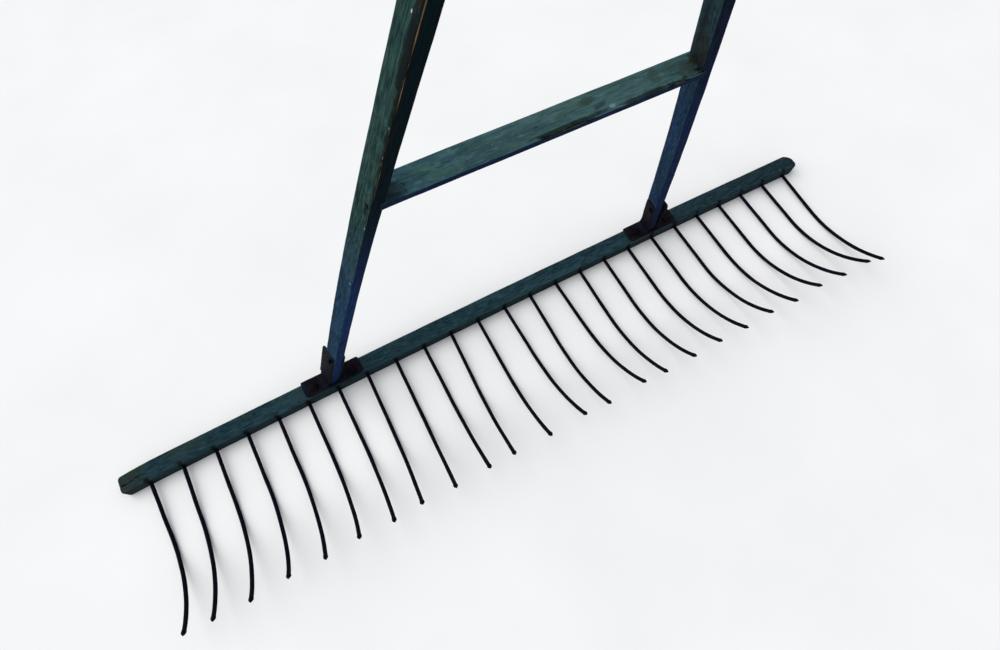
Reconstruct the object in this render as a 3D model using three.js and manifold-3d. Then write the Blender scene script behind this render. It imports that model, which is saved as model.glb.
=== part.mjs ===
// Leaf rake: a wooden head bar with 25 clinched iron tines, carried by an A-frame handle.
// Millimetres, +Z up. The rake stands on its head: the back edge of the bar and the bellies of
// the tines touch the ground, the tines point toward -Y and the handle rises above them.
//
// Three nested frames are used:
//   ground  +Z up, the exported group;
//   head    x along the bar, +y to its back, +z to its top, origin in the middle of the bar;
//   handle  the head frame tilted about x, its rails running out toward -y ("reach" = -y).

import * as THREE from 'three';
import { mergeVertices } from 'three/addons/utils/BufferGeometryUtils.js';
import Module from 'manifold-3d';

const wasm = await Module();
wasm.setup();

// ---- driving dimensions ------------------------------------------------------------------------

const GAP = 0.3; // clearance between touching pieces
const DEGREE = Math.PI / 180;

const PITCH = 60; // tine to tine
const TINE_COUNT = 25;

const BAR_LENGTH = 1524;
const BAR_DEPTH = 25; // front to back
const BAR_HEIGHT = 35;
const BAR_BOW = 6.5; // the ends hang this much lower than the middle
const BAR_SHIFT = -3; // from the middle tine to the middle of the bar
const LEFT_TOP_CORNER = 7;
const RIGHT_TOP_CORNER = 12;
const LEFT_LOWER_CORNER = 10;
const RIGHT_LOWER_CORNER = 14;

const TINE_RADIUS = 3.5;
const TINE_STRAIGHT = 127; // from the middle of the bar to where the bend starts
const TINE_BEND_RADIUS = 210;
const TINE_BEND = 55 * DEGREE;
const LAST_TINE_BEND = 44 * DEGREE; // the last tine has been pulled straighter
const TINE_UNEVEN_BEND = 1.6 * DEGREE;
const TINE_UNEVEN_LEAN = 0.6 * DEGREE;
const TINE_UNEVEN_LENGTH = 1.3;
const KNOCKED_DEGREES = { 1: 3.3, 8: -1.3, 9: -1, 11: -2, 13: 2, 15: 2.5, 25: -2 }; // lean toward +x
const LONGER_TINES = { 3: 7, 17: 3, 23: 3, 24: 6 };
const TIP_LENGTH = 9;
const CLINCH_PROUD = 2.5; // the turned-over end stands this much above the bar
const CLINCH_RADIUS = 5;
const CLINCH_LENGTH = 14;
const CLINCH_TAPER = 3;

const HANDLE_TILT = 7.4 * DEGREE;
const HANDLE_RISE = 6.3; // the rails' middle plane above the middle of the bar
const RAIL_FOOT_X = 366;
const RAIL_LEAN = 0.262; // inward run per unit of reach, at the foot
const RAIL_STRAIGHT = 150; // the foot stays straight inside its socket
const RAIL_CURVE = 4e-5; // further inward run, per square of reach past the straight foot
const RAIL_WIDTH = 17;
const RAIL_TAPER = 0.0041; // width lost per unit of reach
const RAIL_DEPTH = 27.5;
const RAIL_REACH = 1050;
const RAIL_CROWN = 5; // rise of the pointed top end

const BRACE_REACH = 588;
const BRACE_SKEW = 0.0227; // its -x end sits a little higher
const BRACE_THICKNESS = 8.4;
const BRACE_HEIGHT = 32.5;
const TENON_LENGTH = 3;
const TENON_SHOULDER = 0.6;
const MORTISE_ROOM = 1; // above and below the brace's tenon

const LEFT_BRACKET_X = -361;
const RIGHT_BRACKET_X = 365;
const PLATE_LENGTH = 116;
const PLATE_THICKNESS = 4;
const PLATE_TOP = 19;
const PLATE_BOTTOM = -15;
const PLATE_CORNER = 9;
const CHEEK_THICKNESS = 3;
const CHEEK_REACH = 150;
const LEFT_CHEEK_TOP = 18;
const RIGHT_CHEEK_TOP = 12;
const CHEEK_BOTTOM = -14.5;
const CHEEK_CORNER = 6;
const FOLD_RADIUS = 12;
const FOLD_INSET = 2; // the fold stops this short of the plate's edges

const BOLT_OFFSET = 38; // either side of the rail
const BOLT_RADIUS = 4;
const BOLT_HEAD_RADIUS = 9; // domed head, drawn into the back of the bar
const BOLT_HEAD_HEIGHT = 4.2;
const BOLT_HEAD_PROUD = 1.2;
const BOLT_TAIL = 2.5; // thread beyond the nut
const BOLT_CHAMFER = 1;
const NUT_WIDTH = 14;
const NUT_HEIGHT = 6.5;

const RIVET_REACH = 130;
const RIVET_DROP = 6;
const RIVET_RADIUS = 3;
const RIVET_HEAD_RADIUS = 6;
const RIVET_HEAD_HEIGHT = 3.2;

const NAIL_OFFSET = 8; // either side of the rails' middle plane
const NAIL_RADIUS = 1.4;
const NAIL_HEAD_RADIUS = 3.4;
const NAIL_HEAD_HEIGHT = 1.6;
const NAIL_LENGTH = 42;
const NAIL_POINT = 5;

const GRIP_REACH = 1008;
const GRIP_HALF_LENGTH = 96;
const GRIP_MIDDLE_RADIUS = 13;
const GRIP_END_RADIUS = 9.5;
const GRIP_CHAMFER = 2;
const GRIP_CHAMFER_LENGTH = 3;
const GRIP_NECK = 12; // plain length inside each rail
const GRIP_CROWNING = 1; // the middle stands this much over the swell's shoulders
const PIN_RADIUS = 1.6;
const PIN_HEAD_RADIUS = 3.6;
const PIN_LENGTH = 22;
const PIN_POINT = 4;
const PIN_HEAD_HEIGHT = 2;

const CUTTER = 400; // a block larger than anything it trims

// ---- worked out from them ----------------------------------------------------------------------

const BAR_FRONT = -BAR_DEPTH / 2;
const PLATE_BACK = BAR_FRONT - GAP;
const PLATE_FRONT = PLATE_BACK - PLATE_THICKNESS;
const FOOT_LEAN = Math.atan(RAIL_LEAN);

// Tilt of the standing head, where a line through the bar's lowest back edge touches the tines.
const EDGE_TO_BEND = TINE_STRAIGHT - BAR_HEIGHT / 2 - BAR_BOW;
const EDGE_TO_CENTRE = BAR_DEPTH / 2 + TINE_BEND_RADIUS;
const STANCE = Math.acos((TINE_BEND_RADIUS + TINE_RADIUS) / Math.hypot(EDGE_TO_CENTRE, EDGE_TO_BEND))
  - Math.atan2(EDGE_TO_BEND, EDGE_TO_CENTRE);

// ---- materials ---------------------------------------------------------------------------------

const paint = new THREE.MeshStandardMaterial({ color: 0x2b4547, roughness: 0.75, metalness: 0 });
const railPaint = new THREE.MeshStandardMaterial({ color: 0x2c4a56, roughness: 0.7, metalness: 0 });
const iron = new THREE.MeshStandardMaterial({ color: 0x211d22, roughness: 0.7, metalness: 0.6 });
const wire = new THREE.MeshStandardMaterial({ color: 0x17131d, roughness: 0.55, metalness: 0.7 });

// ---- solids ------------------------------------------------------------------------------------

// A geometry as a manifold solid, moved by an optional matrix.
function solid(geometry, matrix) {
  const bare = geometry.clone();
  bare.deleteAttribute('normal');
  bare.deleteAttribute('uv');
  if (matrix) bare.applyMatrix4(matrix);
  const merged = mergeVertices(bare, 1e-4);
  return new wasm.Manifold(new wasm.Mesh({
    numProp: 3,
    vertProperties: new Float32Array(merged.attributes.position.array),
    triVerts: new Uint32Array(merged.index.array),
  }));
}

// A manifold solid as a geometry.
function geometryOf(body) {
  const mesh = body.getMesh();
  const geometry = new THREE.BufferGeometry();
  geometry.setAttribute('position', new THREE.BufferAttribute(mesh.vertProperties, 3));
  geometry.setIndex(new THREE.BufferAttribute(mesh.triVerts, 1));
  geometry.computeVertexNormals();
  return geometry;
}

// One geometry with others taken away from it.
function carve(body, cutters) {
  return cutters.reduce((rest, cutter) => rest.subtract(cutter), body);
}

// The matrix that places a shape at a point after turning it by x, y and z angles.
function placing(x, y, z, turnX = 0, turnY = 0, turnZ = 0) {
  const turn = new THREE.Quaternion().setFromEuler(new THREE.Euler(turnX, turnY, turnZ));
  return new THREE.Matrix4().compose(new THREE.Vector3(x, y, z), turn, new THREE.Vector3(1, 1, 1));
}

// An outline extruded along z, its middle at z = 0.
function slab(outline, thickness, curveSegments = 4) {
  const options = { depth: thickness, bevelEnabled: false, curveSegments };
  return new THREE.ExtrudeGeometry(outline, options).translate(0, 0, -thickness / 2);
}

// A turned piece about the y axis from [radius, y] pairs, given from its lower end to its upper end.
function turned(pairs, sides) {
  return new THREE.LatheGeometry(pairs.map(([radius, y]) => new THREE.Vector2(radius, y)), sides);
}

// A rod about the y axis, from y = start to y = end.
function rod(radius, start, end, sides = 12) {
  return turned([[0, start], [radius, start], [radius, end], [0, end]], sides);
}

// A straight-sided outline through [x, y] pairs.
function outlineOf(pairs) {
  return new THREE.Shape(pairs.map(([x, y]) => new THREE.Vector2(x, y)));
}

function named(name, geometry, material) {
  const mesh = new THREE.Mesh(geometry, material);
  mesh.name = name;
  return mesh;
}

// ---- head bar and tines ------------------------------------------------------------------------

// Height of the bowed bar's middle line above the head frame's x axis.
function bow(x) {
  return -BAR_BOW * (2 * x / BAR_LENGTH) ** 2;
}

// Small unevenness of the hand-bent tines, between -1 and 1.
function wander(index, seed) {
  return Math.sin(index * seed + seed * seed);
}

function tineX(index) {
  return (index - (TINE_COUNT - 1) / 2) * PITCH;
}

function tineBend(index) {
  const own = index === TINE_COUNT - 1 ? LAST_TINE_BEND : TINE_BEND;
  return own + TINE_UNEVEN_BEND * wander(index, 2.7);
}

// Sideways run per unit of length: a little unevenness, and more on the tines that were knocked.
function tineLean(index) {
  const knocked = (KNOCKED_DEGREES[index + 1] ?? 0) * DEGREE;
  return TINE_UNEVEN_LEAN * wander(index, 0.4) + knocked;
}

// Length of a tine's curved end.
function tineArc(index) {
  const longer = LONGER_TINES[index + 1] ?? 0;
  return TINE_BEND_RADIUS * TINE_BEND - TINE_UNEVEN_LENGTH * wander(index, 6.3) + longer;
}

// Place and directions on a tine's centre line, at a distance down from the middle of the bar.
// Above the bar the distance is negative and the line turns over toward -x.
function tinePoint(distance, index) {
  const middle = bow(tineX(index));
  const straight = TINE_STRAIGHT + middle;
  const turnHeight = BAR_HEIGHT / 2 + CLINCH_PROUD - TINE_RADIUS - CLINCH_RADIUS;
  const arc = TINE_BEND_RADIUS * TINE_BEND / tineBend(index);
  const place = new THREE.Vector3(0, 0, middle - distance);
  const side = new THREE.Vector3(1, 0, 0);
  const back = new THREE.Vector3(0, 1, 0);
  if (distance > straight) {
    const angle = (distance - straight) / arc;
    place.set(0, -arc * (1 - Math.cos(angle)), -TINE_STRAIGHT - arc * Math.sin(angle));
    back.set(0, Math.cos(angle), -Math.sin(angle));
  } else if (-distance > turnHeight) {
    const angle = Math.min((-distance - turnHeight) / CLINCH_RADIUS, Math.PI / 2);
    const rest = -distance - turnHeight - CLINCH_RADIUS * angle;
    place.x = -CLINCH_RADIUS * (1 - Math.cos(angle)) - rest * Math.sin(angle);
    place.z = middle + turnHeight + CLINCH_RADIUS * Math.sin(angle) + rest * Math.cos(angle);
    side.set(Math.cos(angle), 0, Math.sin(angle));
  }
  place.x += tineLean(index) * Math.max(distance, 0);
  return { place, side, back };
}

// A tine: a straight turned blank, pointed at its lower end, bent along the centre line.
function tineGeometry(index, grow = 0) {
  const radius = TINE_RADIUS + grow;
  const arcLength = tineArc(index);
  const end = TINE_STRAIGHT + bow(tineX(index)) + arcLength;
  const turnTop = BAR_HEIGHT / 2 + CLINCH_PROUD - TINE_RADIUS - CLINCH_RADIUS;
  const clinchEnd = turnTop + CLINCH_RADIUS * (Math.PI / 2 - 1) + CLINCH_LENGTH + grow;
  const bendStart = TINE_STRAIGHT + bow(tineX(index));
  const stations = [[0, end], [radius * 1.25, end - TIP_LENGTH * 0.7], [radius, end - TIP_LENGTH]];
  const arcSteps = 8;
  for (let step = arcSteps - 1; step >= 0; step -= 1) {
    stations.push([radius, bendStart + (arcLength - TIP_LENGTH) * step / arcSteps]);
  }
  const turnSteps = 3;
  for (let step = 0; step <= turnSteps; step += 1) {
    stations.push([radius, -turnTop - CLINCH_RADIUS * Math.PI / 2 * step / turnSteps]);
  }
  stations.push([radius, -clinchEnd + CLINCH_TAPER]);
  stations.push([radius * 0.6, -clinchEnd]);
  stations.push([0, -clinchEnd]);
  const blank = turned(stations.map(([r, distance]) => [r, -distance]), 8);
  const points = blank.attributes.position;
  for (let i = 0; i < points.count; i += 1) {
    const { place, side, back } = tinePoint(-points.getY(i), index);
    place.addScaledVector(side, points.getX(i));
    place.addScaledVector(back, -points.getZ(i));
    points.setXYZ(i, place.x + tineX(index), place.y, place.z);
  }
  blank.computeVertexNormals();
  return blank;
}

const tineIndexes = Array.from({ length: TINE_COUNT }, (_, index) => index);

// Outline of the bowed bar in x and z, its upper and lower edges drawn in short straight steps.
function barOutline() {
  const left = BAR_SHIFT - BAR_LENGTH / 2;
  const right = BAR_SHIFT + BAR_LENGTH / 2;
  const edge = (x, side) => bow(x) + side * BAR_HEIGHT / 2;
  const steps = 12;
  const outline = new THREE.Shape();
  const run = (from, to, side) => {
    for (let step = 1; step <= steps; step += 1) {
      const x = from + (to - from) * step / steps;
      outline.lineTo(x, edge(x, side));
    }
  };
  const corner = (x, side, endX, endY) => {
    outline.quadraticCurveTo(x, edge(x, side), endX, endY);
  };
  outline.moveTo(left + LEFT_LOWER_CORNER, edge(left, -1));
  run(left + LEFT_LOWER_CORNER, right - RIGHT_LOWER_CORNER, -1);
  corner(right, -1, right, edge(right, -1) + RIGHT_LOWER_CORNER);
  outline.lineTo(right, edge(right, 1) - RIGHT_TOP_CORNER);
  corner(right, 1, right - RIGHT_TOP_CORNER, edge(right, 1));
  run(right - RIGHT_TOP_CORNER, left + LEFT_TOP_CORNER, 1);
  corner(left, 1, left, edge(left, 1) - LEFT_TOP_CORNER);
  outline.lineTo(left, edge(left, -1) + LEFT_LOWER_CORNER);
  corner(left, -1, left + LEFT_LOWER_CORNER, edge(left, -1));
  return outline;
}

function bracketX(rail) {
  return rail < 0 ? LEFT_BRACKET_X : RIGHT_BRACKET_X;
}

const boltSpots = [-1, 1].flatMap((rail) => [-1, 1].map((side) => bracketX(rail) + side * BOLT_OFFSET));

// A coach bolt about the y axis: domed head behind the bar, its thread beyond the nut in front.
function boltGeometry(grow = 0) {
  const crown = BAR_DEPTH / 2 + BOLT_HEAD_PROUD;
  const seat = crown - BOLT_HEAD_HEIGHT - grow;
  const tail = PLATE_FRONT - GAP - NUT_HEIGHT - BOLT_TAIL - grow;
  return turned([
    [0, tail],
    [BOLT_RADIUS - BOLT_CHAMFER + grow, tail],
    [BOLT_RADIUS + grow, tail + BOLT_CHAMFER],
    [BOLT_RADIUS + grow, seat],
    [BOLT_HEAD_RADIUS + grow, seat],
    [BOLT_HEAD_RADIUS + grow, crown - BOLT_HEAD_PROUD + grow],
    [BOLT_HEAD_RADIUS * 0.6 + grow, crown - BOLT_HEAD_PROUD * 0.2 + 2 * grow],
    [0, crown + 2 * grow],
  ], 12);
}

function headBar() {
  const board = slab(barOutline(), BAR_DEPTH, 3).rotateX(Math.PI / 2);
  const tineHoles = tineIndexes.map((index) => solid(tineGeometry(index, GAP)));
  const boltHoles = boltSpots.map((x) => solid(boltGeometry(GAP), placing(x, 0, bow(x))));
  return named('head_bar', geometryOf(carve(solid(board), [...tineHoles, ...boltHoles])), paint);
}

function tine(index) {
  const number = String(index + 1).padStart(2, '0');
  return named(`tine_${number}`, tineGeometry(index), wire);
}

// ---- rails, brace and grip (handle frame) ------------------------------------------------------

function handleFrameMatrix() {
  return placing(0, 0, HANDLE_RISE, HANDLE_TILT);
}

function railX(reach) {
  return RAIL_FOOT_X - RAIL_LEAN * reach - RAIL_CURVE * Math.max(reach - RAIL_STRAIGHT, 0) ** 2;
}

function railWidth(reach) {
  return RAIL_WIDTH - RAIL_TAPER * reach;
}

function railOutline() {
  const steps = 14;
  const outer = [];
  const inner = [];
  for (let step = 0; step <= steps; step += 1) {
    const reach = RAIL_REACH * step / steps;
    outer.push([railX(reach) + railWidth(reach) / 2, -reach]);
    inner.unshift([railX(reach) - railWidth(reach) / 2, -reach]);
  }
  const crown = [railX(RAIL_REACH + RAIL_CROWN), -RAIL_REACH - RAIL_CROWN];
  return outlineOf([...outer, crown, ...inner]);
}

// Outline of the brace, with a stub tenon let into each rail, seen from the front.
function braceOutline(grow = 0) {
  const half = BRACE_THICKNESS / 2 + grow;
  const corner = (side, edge, inset, extra) => {
    const middle = BRACE_REACH - BRACE_SKEW * side * (railX(BRACE_REACH) - inset);
    const reach = middle + edge * (half - inset);
    return [side * (railX(reach) - railWidth(reach) / 2 + extra), -reach];
  };
  const end = (side, edge) => {
    const shoulder = corner(side, edge, 0, -GAP);
    const neck = corner(side, edge, TENON_SHOULDER, -GAP);
    const tip = corner(side, edge, TENON_SHOULDER, TENON_LENGTH + grow);
    return [shoulder, neck, tip];
  };
  return outlineOf([
    ...end(-1, -1).reverse(), ...end(1, -1), ...end(1, 1).reverse(), ...end(-1, 1),
  ]);
}

function nailGeometry(grow = 0) {
  return turned([
    [0, -NAIL_LENGTH - grow],
    [NAIL_RADIUS + grow, -NAIL_LENGTH + NAIL_POINT - grow],
    [NAIL_RADIUS + grow, -grow],
    [NAIL_HEAD_RADIUS + grow, -grow],
    [NAIL_HEAD_RADIUS + grow, NAIL_HEAD_HEIGHT + grow],
    [0, NAIL_HEAD_HEIGHT + grow],
  ], 8);
}

// Where a brace nail sits: its head on the rail's outer face, its point toward the brace.
function nailPlacing(side, level) {
  const reach = BRACE_REACH - BRACE_SKEW * side * railX(BRACE_REACH);
  const face = side * (railX(reach) + railWidth(reach) / 2 - NAIL_HEAD_HEIGHT / 2);
  return placing(face, -reach, level * NAIL_OFFSET, 0, 0, -side * Math.PI / 2);
}

const GRIP_X = railX(GRIP_REACH);

function gripGeometry(grow = 0) {
  const waist = GRIP_X - railWidth(GRIP_REACH) / 2 - GRIP_NECK;
  const shoulder = GRIP_MIDDLE_RADIUS - GRIP_CROWNING;
  const end = GRIP_HALF_LENGTH + grow;
  return turned([
    [0, -end],
    [GRIP_END_RADIUS - GRIP_CHAMFER + grow, -end],
    [GRIP_END_RADIUS + grow, -end + GRIP_CHAMFER_LENGTH],
    [GRIP_END_RADIUS + grow, -waist],
    [shoulder + grow, -waist / 2],
    [GRIP_MIDDLE_RADIUS + grow, 0],
    [shoulder + grow, waist / 2],
    [GRIP_END_RADIUS + grow, waist],
    [GRIP_END_RADIUS + grow, end - GRIP_CHAMFER_LENGTH],
    [GRIP_END_RADIUS - GRIP_CHAMFER + grow, end],
    [0, end],
  ], 16);
}

function gripPlacing() {
  return placing(0, -GRIP_REACH, 0, 0, 0, Math.PI / 2);
}

function pinGeometry(grow = 0) {
  return turned([
    [0, -PIN_LENGTH - grow],
    [PIN_RADIUS + grow, -PIN_LENGTH + PIN_POINT - grow],
    [PIN_RADIUS + grow, GAP - grow],
    [PIN_HEAD_RADIUS + grow, GAP - grow],
    [PIN_HEAD_RADIUS * 0.7 + grow, GAP + PIN_HEAD_HEIGHT + grow],
    [0, GAP + PIN_HEAD_HEIGHT + grow],
  ], 8);
}

function pinPlacing(side) {
  return placing(side * GRIP_X, -GRIP_REACH, RAIL_DEPTH / 2, Math.PI / 2);
}

// A rivet through both cheeks and the rail's foot, along the foot's own cross direction.
function rivetGeometry(grow = 0) {
  const reachOut = RAIL_WIDTH / 2 + CHEEK_THICKNESS + 2 * GAP;
  return turned([
    [0, -reachOut - RIVET_HEAD_HEIGHT],
    [RIVET_HEAD_RADIUS * 0.7, -reachOut - RIVET_HEAD_HEIGHT],
    [RIVET_HEAD_RADIUS, -reachOut],
    [RIVET_RADIUS + grow, -reachOut],
    [RIVET_RADIUS + grow, reachOut],
    [RIVET_HEAD_RADIUS, reachOut],
    [RIVET_HEAD_RADIUS * 0.7, reachOut + RIVET_HEAD_HEIGHT],
    [0, reachOut + RIVET_HEAD_HEIGHT],
  ], 12);
}

function rivetPlacing(side) {
  const turn = -Math.PI / 2 - side * FOOT_LEAN;
  return placing(side * railX(RIVET_REACH), -RIVET_REACH, -RIVET_DROP, 0, 0, turn);
}

function rivetHole(side) {
  const hole = rod(RIVET_RADIUS + GAP, -RAIL_WIDTH * 2, RAIL_WIDTH * 2);
  return solid(hole, rivetPlacing(side));
}

// Everything behind a plane parallel to the bar's front, in the handle frame.
function behind(plane) {
  const block = new THREE.BoxGeometry(2 * BAR_LENGTH, CUTTER, CUTTER);
  block.translate(0, plane + CUTTER / 2, 0);
  return solid(block, handleFrameMatrix().invert());
}

function rail(side, name) {
  const board = slab(railOutline(), RAIL_DEPTH);
  const mirror = new THREE.Matrix4().makeRotationY(side < 0 ? Math.PI : 0);
  const cutters = [
    behind(PLATE_FRONT - GAP),
    rivetHole(side),
    solid(slab(braceOutline(GAP), BRACE_HEIGHT + 2 * MORTISE_ROOM)),
    solid(gripGeometry(GAP), gripPlacing()),
    solid(pinGeometry(GAP), pinPlacing(side)),
    ...[-1, 1].map((level) => solid(nailGeometry(GAP), nailPlacing(side, level))),
  ];
  return named(name, geometryOf(carve(solid(board, mirror), cutters)), railPaint);
}

function brace() {
  const cutters = [-1, 1].flatMap((side) => (
    [-1, 1].map((level) => solid(nailGeometry(GAP), nailPlacing(side, level)))
  ));
  const board = solid(slab(braceOutline(), BRACE_HEIGHT));
  return named('handle_brace', geometryOf(carve(board, cutters)), railPaint);
}

function braceNail(side, level, name) {
  return named(name, nailGeometry().applyMatrix4(nailPlacing(side, level)), iron);
}

function grip() {
  const cutters = [-1, 1].map((side) => solid(pinGeometry(GAP), pinPlacing(side)));
  return named('hand_grip', geometryOf(carve(solid(gripGeometry(), gripPlacing()), cutters)), railPaint);
}

// ---- brackets and their fasteners --------------------------------------------------------------

function plateOutline() {
  const half = PLATE_LENGTH / 2;
  const r = PLATE_CORNER;
  const outline = new THREE.Shape();
  outline.moveTo(-half + r, PLATE_BOTTOM);
  outline.lineTo(half - r, PLATE_BOTTOM);
  outline.quadraticCurveTo(half, PLATE_BOTTOM, half, PLATE_BOTTOM + r);
  outline.lineTo(half, PLATE_TOP - r / 2);
  outline.quadraticCurveTo(half, PLATE_TOP, half - r / 2, PLATE_TOP);
  outline.lineTo(-half + r / 2, PLATE_TOP);
  outline.quadraticCurveTo(-half, PLATE_TOP, -half, PLATE_TOP - r / 2);
  outline.lineTo(-half, PLATE_BOTTOM + r);
  outline.quadraticCurveTo(-half, PLATE_BOTTOM, -half + r, PLATE_BOTTOM);
  return outline;
}

// A cheek seen from its side: reach across, height up, with a rounded free end.
function cheekOutline(top) {
  const r = CHEEK_CORNER;
  const outline = new THREE.Shape();
  outline.moveTo(0, CHEEK_BOTTOM);
  outline.lineTo(0, top);
  outline.lineTo(CHEEK_REACH - r, top);
  outline.quadraticCurveTo(CHEEK_REACH, top, CHEEK_REACH, top - r);
  outline.lineTo(CHEEK_REACH, CHEEK_BOTTOM + r / 3);
  outline.lineTo(CHEEK_REACH - r / 3, CHEEK_BOTTOM);
  return outline;
}

// The hollow curve where a cheek folds out of the plate, seen from above, its corner at the origin.
function foldOutline() {
  const outline = new THREE.Shape();
  outline.moveTo(-1, 1);
  outline.lineTo(-1, -FOLD_RADIUS);
  outline.lineTo(0, -FOLD_RADIUS);
  outline.absarc(FOLD_RADIUS, -FOLD_RADIUS, FOLD_RADIUS, Math.PI, Math.PI / 2, true);
  outline.lineTo(FOLD_RADIUS, 1);
  return outline;
}

// One side of a rail's socket in the handle frame: the cheek, and the fold at its foot.
function cheekSolid(rail, side) {
  const inward = rail * FOOT_LEAN;
  const offset = side * (RAIL_WIDTH / 2 + GAP + CHEEK_THICKNESS / 2);
  const outline = cheekOutline(rail < 0 ? LEFT_CHEEK_TOP : RIGHT_CHEEK_TOP);
  const flat = slab(outline, CHEEK_THICKNESS).rotateX(Math.PI / 2).rotateZ(-Math.PI / 2);
  flat.translate(offset, 0, 0);
  return solid(flat, placing(rail * RAIL_FOOT_X, 0, 0, 0, 0, -inward));
}

function foldSolid(rail, side) {
  const height = PLATE_TOP - PLATE_BOTTOM - 2 * FOLD_INSET;
  const shape = slab(foldOutline(), height, 3);
  const turnOver = new THREE.Matrix4().makeRotationY(side < 0 ? Math.PI : 0);
  const outer = RAIL_WIDTH / 2 + GAP + CHEEK_THICKNESS;
  const place = placing(
    rail * railX(-PLATE_FRONT) + side * outer, PLATE_FRONT, (PLATE_TOP + PLATE_BOTTOM) / 2,
  );
  return solid(shape, place.multiply(turnOver));
}

function bracket(rail, name) {
  const centre = bracketX(rail);
  const plate = slab(plateOutline(), PLATE_THICKNESS).rotateX(Math.PI / 2);
  plate.translate(centre, (PLATE_BACK + PLATE_FRONT) / 2, 0);
  const toHead = handleFrameMatrix();
  const cheeks = [-1, 1].map((side) => cheekSolid(rail, side).transform(toHead.elements));
  const back = new THREE.BoxGeometry(CUTTER, CUTTER, CUTTER);
  back.translate(centre, PLATE_BACK + CUTTER / 2, 0);
  const folds = [-1, 1].map((side) => foldSolid(rail, side));
  const whole = [...cheeks, ...folds].reduce((sum, piece) => sum.add(piece), solid(plate));
  const boltHole = rod(BOLT_RADIUS + GAP, -BAR_DEPTH * 2, BAR_DEPTH * 2);
  const holes = boltSpots.map((x) => solid(boltHole, placing(x, 0, bow(x))));
  const front = new THREE.BoxGeometry(CUTTER, CUTTER, CUTTER);
  front.translate(centre, PLATE_FRONT - CUTTER / 2, 0);
  const railRoom = new THREE.BoxGeometry(RAIL_WIDTH + 2 * GAP, CUTTER, CUTTER);
  const railAxis = placing(rail * RAIL_FOOT_X, 0, 0, 0, 0, -rail * FOOT_LEAN).premultiply(toHead);
  const slot = solid(railRoom, railAxis).intersect(solid(front));
  const rivet = rivetHole(rail).transform(toHead.elements);
  return named(name, geometryOf(carve(whole, [solid(back), ...holes, slot, rivet])), iron);
}

function bolt(x, name) {
  return named(name, boltGeometry().translate(x, 0, bow(x)), iron);
}

// A square nut with a round hole, screwed against the plate.
function nut(x, name) {
  const h = NUT_WIDTH / 2;
  const outline = outlineOf([[-h, -h], [h, -h], [h, h], [-h, h]]);
  const hole = new THREE.Path();
  hole.absarc(0, 0, BOLT_RADIUS + GAP, 0, 2 * Math.PI, false);
  outline.holes.push(hole);
  const piece = slab(outline, NUT_HEIGHT, 12).rotateX(Math.PI / 2);
  return named(name, piece.translate(x, PLATE_FRONT - GAP - NUT_HEIGHT / 2, bow(x)), iron);
}

function rivet(side, name) {
  return named(name, rivetGeometry().applyMatrix4(rivetPlacing(side)), iron);
}

function gripPin(side, name) {
  return named(name, pinGeometry().applyMatrix4(pinPlacing(side)), iron);
}

// ---- assembly ----------------------------------------------------------------------------------

const sides = [[-1, 'left'], [1, 'right']];

const handle = new THREE.Group();
handle.applyMatrix4(handleFrameMatrix());
handle.add(brace(), grip());
for (const [side, word] of sides) {
  handle.add(rail(side, `${word}_rail`));
  handle.add(rivet(side, `${word}_socket_rivet`));
  handle.add(braceNail(side, 1, `${word}_brace_nail_upper`));
  handle.add(braceNail(side, -1, `${word}_brace_nail_lower`));
  handle.add(gripPin(side, `${word}_grip_pin`));
}

const head = new THREE.Group();
head.add(headBar(), handle);
for (const index of tineIndexes) head.add(tine(index));
for (const [side, word] of sides) head.add(bracket(side, `${word}_bracket`));
boltSpots.forEach((x, index) => {
  head.add(bolt(x, `bolt_${index + 1}`));
  head.add(nut(x, `nut_${index + 1}`));
});

// Turn the head onto its back edge and tine bellies, and stand it on the ground.
const rake = new THREE.Group();
rake.add(head);
head.rotation.x = STANCE - Math.PI / 2;
rake.updateMatrixWorld(true);
const extent = new THREE.Box3().setFromObject(rake, true);
head.position.copy(extent.getCenter(new THREE.Vector3()).negate());
head.position.z = -extent.min.z;

export default rake;
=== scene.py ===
"""Leaf rake: the visible model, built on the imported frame.

Shapes are worked out in millimetres in the head frame (x along the bar, +y to its back, +z to its
top) or in the handle frame (the head frame tilted about x, the rails running out toward -y), and
placed on the ground frame, in metres, when each mesh is made.
"""
import math

import bmesh
import bpy
from mathutils import Matrix, Vector, noise


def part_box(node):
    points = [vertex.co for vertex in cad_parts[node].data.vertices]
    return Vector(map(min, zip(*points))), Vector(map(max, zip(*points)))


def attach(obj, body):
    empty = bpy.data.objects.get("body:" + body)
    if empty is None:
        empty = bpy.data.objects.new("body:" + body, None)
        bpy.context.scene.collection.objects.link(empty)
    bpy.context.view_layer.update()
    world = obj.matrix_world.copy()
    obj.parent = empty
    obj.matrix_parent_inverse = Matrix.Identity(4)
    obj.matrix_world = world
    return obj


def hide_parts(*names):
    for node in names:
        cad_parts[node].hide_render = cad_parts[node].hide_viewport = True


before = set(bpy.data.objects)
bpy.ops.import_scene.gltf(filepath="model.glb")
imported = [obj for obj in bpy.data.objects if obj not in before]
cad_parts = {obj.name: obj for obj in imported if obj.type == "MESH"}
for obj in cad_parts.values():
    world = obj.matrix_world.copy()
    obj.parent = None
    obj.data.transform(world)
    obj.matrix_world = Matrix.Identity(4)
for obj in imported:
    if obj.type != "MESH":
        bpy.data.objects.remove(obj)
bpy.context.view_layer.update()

# ---- dimensions, in millimetres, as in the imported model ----

PITCH = 60
TINE_COUNT = 25
BAR_LENGTH = 1524
BAR_DEPTH = 25
BAR_HEIGHT = 35
BAR_BOW = 6.5
BAR_SHIFT = -3
BAR_LEFT = BAR_SHIFT - BAR_LENGTH / 2
BAR_RIGHT = BAR_SHIFT + BAR_LENGTH / 2
TINE_RADIUS = 3.5
TINE_STRAIGHT = 127
TINE_BEND_RADIUS = 210
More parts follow.
